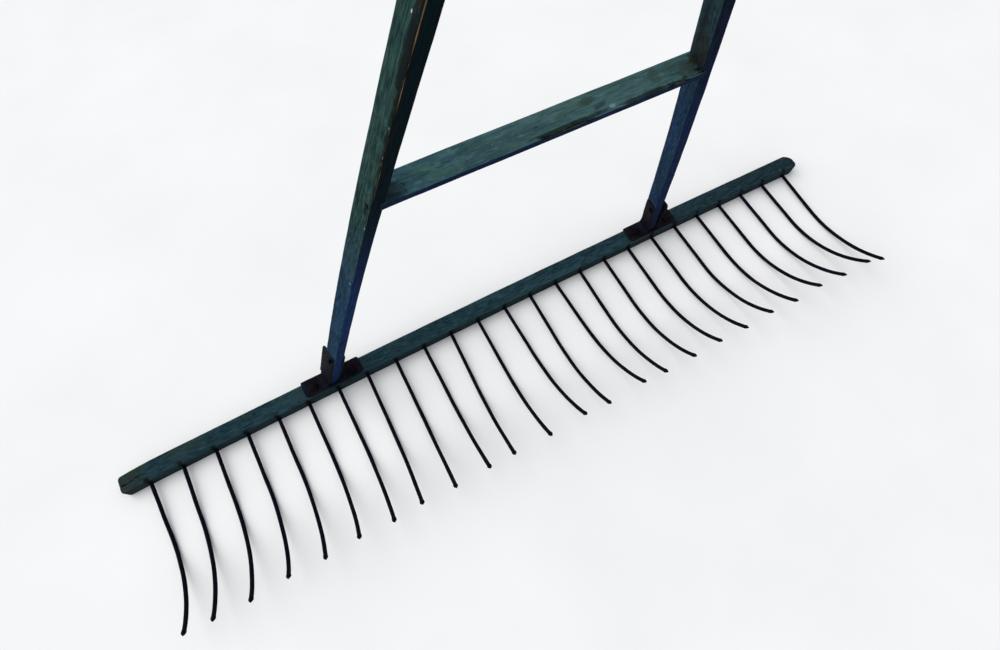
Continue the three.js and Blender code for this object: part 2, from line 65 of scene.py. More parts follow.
TINE_BEND = math.radians(55)
LAST_TINE_BEND = math.radians(44)
TINE_UNEVEN_BEND = math.radians(1.6)
TINE_UNEVEN_LEAN = math.radians(0.6)
TINE_UNEVEN_LENGTH = 1.3
KNOCKED_DEGREES = {1: 3.3, 8: -1.3, 9: -1, 11: -2, 13: 2, 15: 2.5, 25: -2}
LONGER_TINES = {3: 7, 17: 3, 23: 3, 24: 6}
CLINCH_PROUD = 2.5
CLINCH_RADIUS = 5
CLINCH_LENGTH = 14
HANDLE_TILT = math.radians(7.4)
HANDLE_RISE = 6.3
RAIL_FOOT_X = 366
RAIL_LEAN = 0.262
RAIL_STRAIGHT = 150
RAIL_CURVE = 4e-5
RAIL_WIDTH = 17
RAIL_TAPER = 0.0041
RAIL_DEPTH = 27.5
RAIL_REACH = 1050
RAIL_FOOT = 17.5
BRACE_REACH = 588
BRACE_SKEW = 0.0227
BRACE_THICKNESS = 8.4
BRACE_HEIGHT = 32.5
TENON_LENGTH = 3
PLATE_FRONT = -16.8
LEFT_BRACKET_X = -361
RIGHT_BRACKET_X = 365
BOLT_OFFSET = 38
BOLT_RADIUS = 4
BOLT_HEAD_RADIUS = 9
BOLT_CROWN = 13.7
NUT_WIDTH = 14
NUT_HEIGHT = 6.5
BOLT_TAIL = 2.5
RIVET_REACH = 130
RIVET_DROP = 6
RIVET_SPAN = 12.1
NAIL_OFFSET = 8
NAIL_HEAD_HEIGHT = 1.6
GRIP_REACH = 1008
GRIP_HALF_LENGTH = 96
GAP = 0.3
MM = 0.001  # metres in a millimetre

# ---- frames ----

edge_to_bend = TINE_STRAIGHT - BAR_HEIGHT / 2 - BAR_BOW
edge_to_centre = BAR_DEPTH / 2 + TINE_BEND_RADIUS
STANCE = math.acos((TINE_BEND_RADIUS + TINE_RADIUS) / math.hypot(edge_to_centre, edge_to_bend))
STANCE -= math.atan2(edge_to_bend, edge_to_centre)
turn = Matrix.Rotation(STANCE - math.pi / 2, 4, "X")

# The bar's upper front and upper back edges are the highest and the rearmost things on the bar.
bar_low, bar_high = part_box("head_bar")
front_edge = turn @ Vector((0, -BAR_DEPTH / 2, BAR_HEIGHT / 2))
back_edge = turn @ Vector((0, BAR_DEPTH / 2, BAR_HEIGHT / 2))
origin = Vector((  # of the head frame, in millimetres
    (bar_low.x + bar_high.x) * 500 - BAR_SHIFT,
    bar_high.y * 1000 - back_edge.y,
    bar_high.z * 1000 - front_edge.z,
))

HEAD = Matrix.Scale(MM, 4) @ Matrix.Translation(origin) @ turn
HANDLE = HEAD @ Matrix.Translation((0, 0, HANDLE_RISE)) @ Matrix.Rotation(HANDLE_TILT, 4, "X")


def bow(x):
    """Height of the bar's middle line above the head frame's x axis."""
    return -BAR_BOW * (2 * x / BAR_LENGTH) ** 2


def wander(index, seed):
    """The small unevenness of the hand-bent tines, between -1 and 1."""
    return math.sin(index * seed + seed * seed)


def rough(place, scale, seed=0.0):
    """Smooth noise between about -1 and 1 at a place in millimetres; scale is its size."""
    return noise.noise(Vector(place) / scale + Vector((seed, 2 * seed, -seed)))


def rail_x(reach):
    """How far from the middle plane a rail's middle line is, this far up the handle."""
    return RAIL_FOOT_X - RAIL_LEAN * reach - RAIL_CURVE * max(reach - RAIL_STRAIGHT, 0) ** 2


def rail_width(reach):
    return RAIL_WIDTH - RAIL_TAPER * reach


# ---- mesh helpers ----

def rise(value, low, high):
    """0 below low, 1 above high, straight between."""
    return max(0.0, min(1.0, (value - low) / (high - low)))


def remains(distance, length):
    """1 at an end, falling straight to 0 at this length from it."""
    return max(0.0, 1 - distance / length)


def quarter(distance, radius):
    """How far a quarter-round end has drawn in, as a share of its radius, this far from the end."""
    t = remains(distance, radius)
    return 1 - math.sqrt(max(0.0, 1 - t * t))


def around(sides):
    """The angles of a ring's points."""
    return [2 * math.pi * i / sides for i in range(sides)]


def in_metres(place):
    return tuple(c * MM for c in place)


def new_object(name, data):
    made = bpy.data.objects.new(name, data)
    bpy.context.scene.collection.objects.link(made)
    return made


def make_piece(name, mesh, matrix, node, material, sharp=40):
    """Makes a mesh, which matrix takes to the ground frame, into a piece for one CAD node."""
    mesh.transform(matrix)
    mesh.shade_smooth()
    mesh.set_sharp_from_angle(angle=math.radians(sharp))
    mesh.materials.append(material)
    piece = new_object(name, mesh)
    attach(piece, "root")
    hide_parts(node)


def loft(name, rings, cap=True, **attributes):
    """A closed skin over rings of points, with a middle point closing each end.

    Each attribute is a function of (ring index, point index) that gives a number or a vector."""
    mesh = bpy.data.meshes.new(name)
    count = len(rings[0])
    points = [p for ring in rings for p in ring]
    faces = []
    for r in range(len(rings) - 1):
        for i in range(count):
            j = (i + 1) % count
            faces.append((r * count + i, r * count + j, (r + 1) * count + j, (r + 1) * count + i))
    if cap:
        for r, order in ((0, -1), (len(rings) - 1, 1)):
            middle = len(points)
            points.append(sum((Vector(p) for p in rings[r]), Vector()) / count)
            for i in range(count):
                pair = (r * count + i, r * count + (i + 1) % count)
                faces.append((*pair[::order], middle))
    mesh.from_pydata([tuple(p) for p in points], [], faces)
    last = len(rings) - 1
    for key, function in attributes.items():
        values = [function(r, i) for r in range(len(rings)) for i in range(count)]
        if cap:
            values += [function(0, 0), function(last, 0)]
        kind = "FLOAT" if isinstance(values[0], (int, float)) else "FLOAT_VECTOR"
        layer = mesh.attributes.new(key, kind, "POINT")
        flat = values if kind == "FLOAT" else [c for v in values for c in v]
        layer.data.foreach_set("value" if kind == "FLOAT" else "vector", flat)
    return mesh


def outward(mesh, merge=0.0):
    """Turns a closed mesh's faces outward, points closer than merge millimetres made one first."""
    work = bmesh.new()
    work.from_mesh(mesh)
    if merge:
        bmesh.ops.remove_doubles(work, verts=work.verts, dist=merge)
    bmesh.ops.recalc_face_normals(work, faces=work.faces)
    work.to_mesh(mesh)
    work.free()
    return mesh


WOBBLE_SIZE = 3.0


def lathe(name, profile, sides, wobble, seed):
    """A turned body about y from (radius, y) pairs, its surface unsteady by wobble millimetres."""
    rings = []
    for radius, y in profile:
        ring = []
        for angle in around(sides):
            place = Vector((math.cos(angle) * radius, y, -math.sin(angle) * radius))
            r = radius + wobble * rough(place, WOBBLE_SIZE, seed)
            ring.append((math.cos(angle) * r, y, -math.sin(angle) * r))
        rings.append(ring)
    return outward(loft(name, rings))


CORNER_STEPS = 4
FLAT_STEPS = 5
EDGE_AT_CORNER_END = 0.65
EDGE_FADE = 1.6


def board_section(half_a, half_b, radius):
    """A rounded rectangle as (a, b, edge) triples; edge is 1 at a corner and 0 on the flats."""
    points = []
    corners = ((1, 1), (-1, 1), (-1, -1), (1, -1))
    for c, (sa, sb) in enumerate(corners):
        centre = (sa * (half_a - radius), sb * (half_b - radius))
        for k in range(CORNER_STEPS + 1):
            angle = math.pi / 2 * (c + k / CORNER_STEPS)
            spread = abs(k / CORNER_STEPS - 0.5) * 2
            points.append((
                centre[0] + radius * math.cos(angle),
                centre[1] + radius * math.sin(angle),
                1 - (1 - EDGE_AT_CORNER_END) * spread,
            ))
        following = corners[(c + 1) % 4]
        start = points[-1]
        angle = math.pi / 2 * (c + 1)
        end = (
            following[0] * (half_a - radius) + radius * math.cos(angle),
            following[1] * (half_b - radius) + radius * math.sin(angle),
        )
        length = math.hypot(end[0] - start[0], end[1] - start[1])
        for k in range(1, FLAT_STEPS):
            share = 0.5 - 0.5 * math.cos(math.pi * k / FLAT_STEPS)
            near = min(share, 1 - share) * length
            points.append((
                start[0] + (end[0] - start[0]) * share,
                start[1] + (end[1] - start[1]) * share,
                EDGE_AT_CORNER_END * math.exp(-near / EDGE_FADE),
            ))
    return points


# The first point past the middle of a section's -a face: two corners, a flat and half the next.
GROOVE = 2 * (CORNER_STEPS + 1) + FLAT_STEPS - 1 + 2


def grooved(section, wander_height, half_width):
    """The section with three more points near the middle of its -a face, for a crack."""
    above = section[GROOVE - 1][1]
    below = section[GROOVE][1]
    margin = 0.2 * (above - below)
    height = (above + below) / 2 + wander_height
    height = max(below + margin, min(above - margin, height))
    half_width = min(half_width, 0.75 * margin)
    extra = [(section[GROOVE][0], height + shift, 0.0) for shift in (half_width, 0, -half_width)]
    return section[:GROOVE] + extra + section[GROOVE:]


END_STATIONS = (0, 0.3, 0.9, 1.8, 3, 4.5, 6.5, 9, 12, 16)


def stations(start, end, step):
    """Distances from start to end, a step apart, closer together at both ends."""
    inner_start = start + END_STATIONS[-1]
    inner_length = end - start - 2 * END_STATIONS[-1]
    count = int(round(inner_length / step))
    inner = [inner_start + inner_length * k / count for k in range(1, count)]
    return [start + f for f in END_STATIONS] + inner + [end - f for f in reversed(END_STATIONS)]


# ---- materials ----

class Shader:
    """A material being built: its methods add nodes and return the last one's output."""

    def __init__(self, name):
        self.material = bpy.data.materials.new(name)
        self.material.use_nodes = True
        self.tree = self.material.node_tree
        self.surface = self.tree.nodes["Principled BSDF"]

    def node(self, kind, inputs=(), output=0, **settings):
        made = self.tree.nodes.new(kind)
        for key, value in settings.items():
            setattr(made, key, value)
        for key, value in dict(inputs).items():
            self.feed(made.inputs[key], value)
        return made.outputs[output]

    def feed(self, socket, value):
        if isinstance(value, bpy.types.NodeSocket):
            self.tree.links.new(value, socket)
        else:
            socket.default_value = value

    def attribute(self, name, output):
        return self.node("ShaderNodeAttribute", attribute_name=name, output=output)

    def stretch(self, vector, scale, shift):
        """vector * scale + shift."""
        return self.node(
            "ShaderNodeVectorMath", {0: vector, 1: scale, 2: shift}, operation="MULTIPLY_ADD")

    def noise(self, vector, scale=1.0, detail=4.0, roughness=0.55, distortion=0.0, output=0):
        return self.node("ShaderNodeTexNoise", {
            "Vector": vector, "Scale": scale, "Detail": detail, "Roughness": roughness,
            "Distortion": distortion,
        }, output)

    def math(self, operation, a, b):
        return self.node("ShaderNodeMath", {0: a, 1: b}, operation=operation)

    def times(self, a, b):
        return self.math("MULTIPLY", a, b)

    def total(self, *terms):
        """The sum of (value, weight) terms."""
        whole = None
        for value, weight in terms:
            share = value if weight == 1 else self.times(value, weight)
            whole = share if whole is None else self.math("ADD", whole, share)
        return whole

    def uneven(self, value, noise, amount):
        """The value pushed up and down by noise, by half of amount either way."""
        return self.total((value, 1), (self.math("SUBTRACT", noise, 0.5), amount))

    def part(self, vector, index):
        return self.node("ShaderNodeSeparateXYZ", {0: vector}, output=index)

    def spot(self, vector, centre, radii):
        """1 in the middle of a round patch and 0 from its rim out."""
        scale = tuple(1 / r for r in radii)
        local = self.stretch(vector, scale, tuple(-c / r for c, r in zip(centre, radii)))
        far = self.node("ShaderNodeVectorMath", {0: local}, operation="LENGTH", output=1)
        return self.between(far, 1.0, 0.2)

    def stain(self, vector, centre, radii, noise, tear, full, strength):
        """A spot whose rim is torn by noise; full is where it reaches its strength."""
        inside = self.spot(vector, centre, radii)
        ragged = self.uneven(inside, noise, tear)
        return self.times(
            self.between(inside, 0.02, 0.3), self.between(ragged, 0.2, full, 0, strength))

    def between(self, value, low, high, to_low=0.0, to_high=1.0):
        """Maps low..high to to_low..to_high with soft ends."""
        return self.node("ShaderNodeMapRange", {
            "Value": value, "From Min": low, "From Max": high, "To Min": to_low, "To Max": to_high,
        }, interpolation_type="SMOOTHSTEP")

    def ramp(self, value, *stops):
        """A colour ramp through (position, (r, g, b)) stops."""
        made = self.tree.nodes.new("ShaderNodeValToRGB")
        elements = made.color_ramp.elements
        while len(elements) < len(stops):
            elements.new(0.5)
        for element, (position, colour) in zip(elements, stops):
            element.position = position
            element.color = (*colour, 1)
        self.feed(made.inputs[0], value)
        return made.outputs[0]

    def mix(self, share, first, second, blend="MIX"):
        made = self.tree.nodes.new("ShaderNodeMix")
        made.data_type = "RGBA"
        made.blend_type = blend
        for index, value in ((0, share), (6, first), (7, second)):
            self.feed(made.inputs[index], (*value, 1) if isinstance(value, tuple) else value)
        return made.outputs[2]

    def tinted(self, colour, factor):
        return self.mix(1.0, colour, factor, "MULTIPLY")

    def bump(self, height, distance, strength):
        return self.node("ShaderNodeBump", {
            "Height": height, "Distance": distance, "Strength": strength,
        })

    def finish(self, colour, roughness, normal, metallic=0.0, *, specular):
        for key, value in (
                ("Base Color", colour), ("Roughness", roughness), ("Normal", normal),
                ("Metallic", metallic), ("Specular IOR Level", specular)):
            self.feed(self.surface.inputs[key], value)
        return self.material


# Noise patterns of the painted wood: features per metre along and across the grain, and settings.
WOOD_NOISE = {
    "broad": ((6, 40, 40), {"detail": 5, "distortion": 0.4}),
    "streak": ((48, 520, 520), {"detail": 6, "roughness": 0.62}),
    "fibre": ((60, 1500, 1500), {"detail": 4, "roughness": 0.6}),
    "blotch": ((26, 60, 60), {"detail": 7, "roughness": 0.66}),
    "grime": ((75, 170, 170), {"detail": 7, "roughness": 0.72}),
    "speck": ((260, 420, 420), {"detail": 2}),
}
WAVER_SCALE = (14, 60, 60)
WAVER_REACH = (0.0, 0.006, 0.006)  # how far the grain wavers, in metres
SHADOW_IN_GRAIN = (0.0, 0.0, 0.0)
PALE_STREAK_FACTOR = (1.6, 1.5, 1.4)
CLOUDY_FACTOR = (1.9, 1.65, 1.5)
OLIVE_FACTOR = (1.05, 0.88, 0.5)
GRIME_BLACK = (0.004, 0.0065, 0.0065)
# Streak and blotch colours in the painted shade of the lower faces.
PAINTED_SHADE_STREAK = (0.002, 0.003, 0.006)
PAINTED_SHADE_BLOTCH = (0.002, 0.002, 0.003)
BARE_TONES = (
    (0.32, (0.165, 0.11, 0.062)), (0.52, (0.095, 0.065, 0.038)), (0.72, (0.026, 0.019, 0.013)))
CLEAN_WOOD = (0.135, 0.068, 0.022)
RUBBED_DIRT = (0.005, 0.005, 0.005)
CHIP_PRIMER = (0.12, 0.14, 0.12)
TINE_STAIN = (0.003, 0.003, 0.004)
PITCHES_TO_ZERO = 13  # whole pitches that bring x above zero all along the bar
STAIN_TEAR = 2.4


def painted_wood(
        name, seed, foot, top, painted_shade_tones, wear, mottle, fade=(0.15, 0.62), streaks=1.0, marks=(),
        tine_stains=False):
    """Old paint over open-grained wood.

    foot and top are (dark, light) tones at the start and the end of the member, and the third pair
    the two tones of its lower faces there, painted shade (on the bar about as light as the front);
    fade is where along it foot gives way to top. wear is how readily its arrises go bare, mottle
    how cloudy the paint is and streaks how strongly the grain shows. Each mark is a centre, radii,
    a tint and a strength; tine_stains are dark stains where the tines go in. The mesh carries
    "grain" (place along and across the member, in metres), "edge" (1 on an arris), a painted-shade
    mask (1 on the lower faces, which get the painted shade) and "rub" (1 where the paint is rubbed
    off, more where the wood is clean)."""
    s = Shader(name)
    grain = s.attribute("grain", "Vector")
    edge = s.attribute("edge", "Fac")
    shelter = s.attribute("shelter", "Fac")
    rub = s.attribute("rub", "Fac")
    shift = (seed, seed * 1.7, -seed)
    waver = s.noise(s.stretch(grain, WAVER_SCALE, shift), detail=2, output=1)
    bent = s.stretch(waver, WAVER_REACH, grain)
    patterns = []
    for kind, (scale, settings) in WOOD_NOISE.items():
        base = bent if kind in ("streak", "fibre") else grain
        patterns.append(s.noise(s.stretch(base, scale, shift), **settings))
    broad, streak, fibre, blotch, grime, speck = patterns
    along = s.between(s.part(grain, 0), *fade)

    # The paint: two tones, dark and pale streaks, clouding, olive blotches and grime.
    dark = s.mix(along, foot[0], top[0])
    light = s.mix(along, foot[1], top[1])
    paint = s.mix(s.between(broad, 0.34, 0.66), dark, light)
    paint = s.mix(
        s.between(streak, 0.48, 0.62, 0, 0.8 * streaks), paint, s.mix(0.5, dark, SHADOW_IN_GRAIN))
    paint = s.mix(
        s.between(streak, 0.48, 0.34, 0, 0.6 * streaks), paint, s.tinted(light, PALE_STREAK_FACTOR))
    paint = s.mix(s.between(grime, 0.48, 0.34, 0, mottle), paint, s.tinted(light, CLOUDY_FACTOR))
    paint = s.mix(s.between(blotch, 0.52, 0.68, 0, 0.6), paint, s.tinted(light, OLIVE_FACTOR))
    paint = s.mix(s.between(grime, 0.54, 0.72, 0, 0.75 * streaks), paint, GRIME_BLACK)

    # Painted shade: the lower faces darker and plainer (on the bar about as light as the front).
    shaded_paint = s.mix(s.between(streak, 0.4, 0.7, 0, 0.5), s.mix(along, *painted_shade_tones), PAINTED_SHADE_STREAK)
    shaded_paint = s.mix(s.between(blotch, 0.5, 0.66, 0, 0.5), shaded_paint, s.mix(0.6, shaded_paint, PAINTED_SHADE_BLOTCH))
    paint = s.mix(s.times(shelter, 0.95), paint, shaded_paint)

    for centre, radii, tint, strength in marks:
        kept = s.stain(grain, centre, radii, grime, STAIN_TEAR, 0.9, strength)
        paint = s.mix(kept, paint, tint)

    # Bare wood on worn arrises and where it is rubbed, with dirt about it.
    bare = s.mix(s.between(rub, 1.05, 1.3), s.ramp(streak, *BARE_TONES), CLEAN_WOOD)
    worn = s.total((edge, wear), (blotch, 0.9), (streak, 0.25))
    rubbed = s.total((rub, 0.75), (grime, 0.7))
    mask = s.math("MAXIMUM", s.between(worn, 1.04, 1.14), s.between(rubbed, 0.86, 1.02))
    colour = s.mix(mask, paint, bare)
    dirt = s.between(s.total((rub, 0.7), (grime, 1.1)), 0.68, 0.86, 0, 0.85)
    colour = s.mix(s.times(dirt, s.math("SUBTRACT", 1.0, mask)), colour, RUBBED_DIRT)

    # Chips down to the primer, only on the faces without painted shade.
    chips = s.times(s.between(speck, 0.7, 0.74), s.between(blotch, 0.44, 0.54, 0.15, 0.8))
    colour = s.mix(s.times(chips, s.math("SUBTRACT", 1.0, shelter)), colour, CHIP_PRIMER)
    if tine_stains:
        run = s.math("ADD", s.part(grain, 0), PITCH * MM * PITCHES_TO_ZERO)
        from_tine = s.math("PINGPONG", run, PITCH * MM / 2)
        near = s.between(s.uneven(from_tine, grime, 0.014), 0.007, 0.001)
        rim = s.between(s.part(grain, 2), -0.014, -0.018)
        colour = s.mix(s.times(s.times(near, rim), 0.85), colour, TINE_STAIN)

    height = s.total((streak, -0.6), (fibre, -0.3), (mask, -0.35), (grime, -0.3))
    normal = s.bump(height, 0.0012, 0.65)
    roughness = s.between(s.total((streak, 1), (mask, 0.3)), 0.35, 0.85, 0.58, 0.9)
    return s.finish(colour, roughness, normal, specular=0.008)


FADED_BLUE = (0.006, 0.01, 0.021)
GREASE_TONES = ((0.0035, 0.003, 0.0035), (0.013, 0.0085, 0.0085))
GREASE_RADIUS = 0.015
IRON_GLINT = (0.25, 0.25, 0.32, 1)


def iron(name, black, brown, flake, paint_left, pitting, grimed=()):
    """Old black iron with brown rust in patches and specks, and traces of blue paint.

    Grimed places, in metres, are dirty brown all round, as about a nut."""
    s = Shader(name)
    place = s.node("ShaderNodeTexCoord", output="Object")
    patch = s.noise(place, 60, detail=7, roughness=0.68)
    grit = s.noise(place, 420, detail=5, roughness=0.65)
    pits = s.noise(place, 900, detail=3, roughness=0.5)
    between_tones = tuple((a + b) / 2 for a, b in zip(black, brown))
    colour = s.ramp(patch, (0.38, black), (0.52, between_tones), (0.64, brown))
    colour = s.mix(s.between(grit, 0.56, 0.68, 0, 0.75), colour, flake)
    if paint_left:
        flaking = s.noise(s.stretch(place, (42, 42, 42), (7, 3, 1)), detail=7, roughness=0.72)
        paint = s.between(flaking, 0.5, 0.58)
        colour = s.mix(s.times(paint, paint_left), colour, FADED_BLUE)
    for centre in grimed:
        kept = s.stain(place, centre, (GREASE_RADIUS,) * 3, grit, 1.5, 0.8, 0.9)
        colour = s.mix(kept, colour, s.mix(patch, *GREASE_TONES))
    normal = s.bump(s.total((grit, 0.6), (pits, 0.4), (patch, 0.8)), pitting, 0.75)
    roughness = s.between(s.total((patch, 1), (grit, 0.4)), 0.5, 0.95, 0.5, 0.85)
    metallic = s.between(patch, 0.42, 0.62, 0.25, 0.05)
    s.surface.inputs["Specular Tint"].default_value = IRON_GLINT
    return s.finish(colour, roughness, normal, metallic, specular=0.03)


def face_marks(face, depth, *rows):
    """Marks on one face of a board, from rows of (run, height, half length, half height, tint,
    strength), in millimetres. face is where the face lies in the second grain coordinate, and
    depth how far through it the marks go."""
    return tuple(
        (in_metres((run, face, height)), in_metres((length, depth, breadth)), tint, strength)
        for run, height, length, breadth, tint, strength in rows)


PALE_SCUFF = (0.13, 0.24, 0.26)
CHALK = (0.42, 0.44, 0.4)
BARE_WOOD = (0.2, 0.16, 0.1)
RAW_ARRIS = (0.085, 0.062, 0.045)
JOINT_RUST = (0.07, 0.055, 0.035)
OLIVE_STAIN = (0.026, 0.036, 0.02)
BROWN_STAIN = (0.022, 0.016, 0.008)
DARK_STAIN = (0.005, 0.008, 0.008)
END_GRAIN = (0.024, 0.029, 0.019)
# Painted shade: near black, for the shade inside the bar's crack.
CRACK_SHADE_BLACK = (0.0012, 0.0014, 0.0016)
BAR_FACE = -BAR_DEPTH / 2
RAIL_FACE = -7.5
BRACE_FACE = -BRACE_THICKNESS / 2

BAR_PAINT = painted_wood(
    "bar_paint", 1.3,
    foot=((0.0108, 0.0306, 0.0405), (0.0198, 0.0468, 0.0625)),
    top=((0.0095, 0.0223, 0.0299), (0.0173, 0.0342, 0.0462)),
    painted_shade_tones=((0.017, 0.033, 0.038), (0.017, 0.033, 0.04)),
    wear=0.3, mottle=0.35, tine_stains=True,
    marks=(
        ((-0.765, -0.004, -0.004), (0.07, 0.07, 0.06), END_GRAIN, 0.6),
        *face_marks(
            BAR_FACE, 10,
            (-735, 10, 40, 8, OLIVE_STAIN, 0.6),
            (-640, 4, 60, 12, OLIVE_STAIN, 0.4),
            # Painted shade: three dark dashes along the crack, where shade falls into it.
            (-757, -10, 9, 1.4, CRACK_SHADE_BLACK, 1.0),
            (-745, -8, 9, 1.3, CRACK_SHADE_BLACK, 1.0),
            (-733, -6, 9, 1.1, CRACK_SHADE_BLACK, 1.0),
            (713, -15.5, 4, 3, PALE_SCUFF, 0.3),
        ),
        *face_marks(BAR_FACE, 3, (350, -17.8, 110, 2.2, RAW_ARRIS, 0.45)),
    ),
)
LEFT_RAIL_PAINT = painted_wood(
    "left_rail_paint", 3.1,
    foot=((0.0075, 0.0255, 0.05), (0.013, 0.041, 0.081)),
    top=((0.012, 0.033, 0.032), (0.023, 0.056, 0.052)),
    # Painted shade: the tones of the rail's lower faces.
    painted_shade_tones=((0.008, 0.025, 0.09), (0.0015, 0.0066, 0.01)),
    wear=0.34, mottle=0.4, fade=(0.34, 0.62),
    marks=(
        *face_marks(
            RAIL_FACE, 6,
            (730, -13.5, 200, 6, DARK_STAIN, 0.85),
            (790, -9.5, 90, 9, DARK_STAIN, 0.9),
            (860, -8, 60, 9, BROWN_STAIN, 0.8),
        ),
        *face_marks(
            RAIL_FACE, 4,
            (816, -3.6, 2.8, 1.3, CHALK, 1.0),
            (712, -11.5, 3, 1.2, BARE_WOOD, 0.9),
            (676, -12.8, 3, 1.2, BARE_WOOD, 0.9),
            (668, -13.2, 5, 1.6, BARE_WOOD, 0.9),
            (560, -12.1, 3, 1.2, CHALK, 0.7),
            (426, -9, 3.5, 3, PALE_SCUFF, 0.8),
            (590, 8, 16, 6, DARK_STAIN, 0.6),
            (588, -8, 14, 6, DARK_STAIN, 0.5),
        ),
    ),
)
RIGHT_RAIL_PAINT = painted_wood(
    "right_rail_paint", 7.4,
    foot=((0.0068, 0.021, 0.048), (0.0118, 0.034, 0.076)),
    top=((0.0095, 0.0232, 0.0302), (0.0189, 0.0407, 0.0529)),
    # Painted shade: the tones of the rail's lower faces.
    painted_shade_tones=((0.006, 0.015, 0.056), (0.003, 0.008, 0.024)),
    wear=0.28, mottle=0.35, fade=(0.48, 0.66),
    marks=face_marks(
        RAIL_FACE, 4,
        (620, -1, 50, 24, BROWN_STAIN, 0.55),
        (660, 4, 60, 10, DARK_STAIN, 0.6),
    ),
)
BRACE_PAINT = painted_wood(
    "brace_paint", 11.9,
    foot=((0.029, 0.08, 0.105), (0.05, 0.135, 0.17)),
    top=((0.03, 0.066, 0.07), (0.05, 0.108, 0.113)),
    # Painted shade: the tones of the brace's lower face.
    painted_shade_tones=((0.005, 0.012, 0.048), (0.005, 0.012, 0.048)),
    wear=0.32, mottle=0.45, fade=(-0.08, 0.24), streaks=0.5,
    marks=face_marks(
        BRACE_FACE, 3,
        (276, -10.5, 7, 4.2, PALE_SCUFF, 0.8),
        (251, 6.5, 18, 8, OLIVE_STAIN, 0.6),
        (262, -4, 13, 5.5, DARK_STAIN, 0.5),
        (339, 3.2, 13, 15, OLIVE_STAIN, 0.4),
        (385, -4, 26, 14, BROWN_STAIN, 0.45),
        (395, 6, 10, 13, BROWN_STAIN, 0.8),
        (411, 0, 6, 24, DARK_STAIN, 1.0),
        (362, -15, 12, 1.8, BARE_WOOD, 0.9),
        (220, -12.5, 85, 5, DARK_STAIN, 0.8),
        (330, -13.5, 85, 5, DARK_STAIN, 0.8),
        (20, -4.7, 12, 7, PALE_SCUFF, 0.35),
        (8, -6, 32, 34, DARK_STAIN, 0.7),
        (4, -6, 10, 14, JOINT_RUST, 0.5),
        (396, -11, 14, 8, DARK_STAIN, 1.0),
    ),
)
GRIP_TONES = ((0.016, 0.036, 0.036), (0.028, 0.056, 0.054))
GRIP_PAINT = painted_wood("grip_paint", 17.3, GRIP_TONES, GRIP_TONES, GRIP_TONES, 0.6, 0.4)

BOLT_XS = [
    middle + side * BOLT_OFFSET for middle in (LEFT_BRACKET_X, RIGHT_BRACKET_X) for side in (-1, 1)]
NUT_PLACES = [tuple(HEAD @ Vector((x, PLATE_FRONT, bow(x)))) for x in BOLT_XS]
BRACKET_IRON = iron(
    "bracket_iron", black=(0.0035, 0.004, 0.007), brown=(0.011, 0.0088, 0.0115),
    flake=(0.021, 0.015, 0.0165), paint_left=0.5, pitting=0.001, grimed=NUT_PLACES)
FASTENER_IRON = iron(
    "fastener_iron", black=(0.0025, 0.0025, 0.0035), brown=(0.009, 0.006, 0.0065),
    flake=(0.022, 0.0135, 0.0125), paint_left=0.2, pitting=0.0007)
TINE_IRON = iron(
    "tine_iron", black=(0.002, 0.0022, 0.008), brown=(0.0055, 0.0038, 0.0085),
    flake=(0.014, 0.009, 0.012), paint_left=0, pitting=0.0005)


# ---- head bar ----

CRACK_LENGTH = 46
CRACK_DEPTH = 3.0
CRACK_HALF_WIDTH = 0.55
GROOVE_HALF_WIDTH = 0.25
CRACK_START = -3.8
CRACK_CLIMB = 4.5
BAR_ARRIS = 1.7
PAINTED_SHADE_LIP = 2.5  # how far round a corner the painted shade still reaches
PAINTED_SHADE_BLEND = 1.5


def bar_shape(x):
    """Bottom, top and half depth of the bar's section at x, its ends whittled and rounded over.

    The left end's top slopes off gently; the right end is rounder."""
    middle = bow(x)
    if x < BAR_SHIFT:
        end = x - BAR_LEFT
        top_cut = 3.6 * remains(end, 62) ** 1.3 + 5 * quarter(end, 7)
        bottom_cut = 7.5 * quarter(end, 9) - 1.2 * remains(end, 30)
        face_cut = 3.0 * quarter(end, 4) + 0.8 * remains(end, 50)
    else:
        end = BAR_RIGHT - x
        top_cut = 9 * remains(end, 15) + 8 * quarter(end, 15)
        bottom_cut = 11 * quarter(end, 14)
        face_cut = 3.0 * quarter(end, 4)
    bottom = middle - BAR_HEIGHT / 2 + bottom_cut
    top = middle + BAR_HEIGHT / 2 - top_cut
    return bottom, top, BAR_DEPTH / 2 - face_cut


